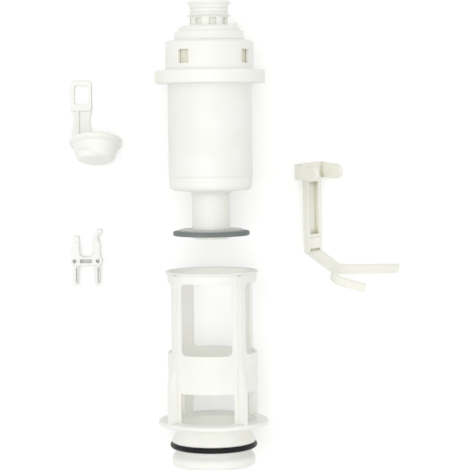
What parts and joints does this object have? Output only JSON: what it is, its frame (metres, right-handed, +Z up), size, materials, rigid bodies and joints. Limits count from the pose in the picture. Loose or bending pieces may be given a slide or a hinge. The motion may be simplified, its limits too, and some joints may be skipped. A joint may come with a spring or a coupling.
{
  "type": "toilet flush valve",
  "caption": "Cistern flush valve laid out in its pieces: windowed outlet basket, valve insert with overflow tube and seal washer, ballast cup, rod clip and lift bracket.",
  "frame": {"origin": "on the table under the middle of the layout", "axes": "+Z up from the table, +Y along the valve from the outlet spigot to the crown, +X towards the lift bracket"},
  "size_m": [0.2576, 0.3528, 0.084],
  "materials": {
    "white_plastic": "satin",
    "beige_plastic": "satin",
    "ivory_plastic": "satin",
    "grey_plastic": "satin",
    "grey_rubber": "matte",
    "black_rubber": "matte",
    "float_plastic": "matte"
  },
  "bodies": {
    "basket": {"valve_basket": "white_plastic", "outlet_seal": "black_rubber"},
    "insert": {"housing_shell": "white_plastic", "lug_collar": "white_plastic", "bottom_cover": "white_plastic", "guide_bush": "white_plastic"},
    "adjuster": {"adjuster_cap": "white_plastic", "adjuster_sleeve": "beige_plastic"},
    "lift_unit": {"overflow_tube": "white_plastic", "pull_crown": "white_plastic", "lock_ring": "white_plastic", "main_float": "float_plastic", "float_stop": "white_plastic", "seal_plate": "grey_plastic", "seal_washer": "grey_rubber", "seal_retainer": "white_plastic"},
    "cup": {"ballast_cup": "white_plastic"},
    "clip": {"rod_clip": "white_plastic"},
    "bracket": {"lift_bracket": "ivory_plastic"}
  },
  "joints": [
    {"name": "insert_slide", "type": "slide", "parent": "basket", "child": "insert", "axis": [0, -1, 0], "range_m": [0, 0.1418]},
    {"name": "adjuster_turn", "type": "hinge", "parent": "insert", "child": "adjuster", "pos_m": [-0.0176, 0.15255, 0.042], "axis": [0, -1, 0], "range_deg": [0, 30]},
    {"name": "valve_lift", "type": "slide", "parent": "insert", "child": "lift_unit", "axis": [0, 1, 0], "range_m": [0, 0.02]},
    {"name": "cup_lift_off", "type": "slide", "parent": "basket", "child": "cup", "axis": [0, 0, 1], "range_m": [0, 0.06]},
    {"name": "clip_lift_off", "type": "slide", "parent": "basket", "child": "clip", "axis": [0, 0, 1], "range_m": [0, 0.06]},
    {"name": "bracket_lift_off", "type": "slide", "parent": "basket", "child": "bracket", "axis": [0, 0, 1], "range_m": [0, 0.06]}
  ]
}
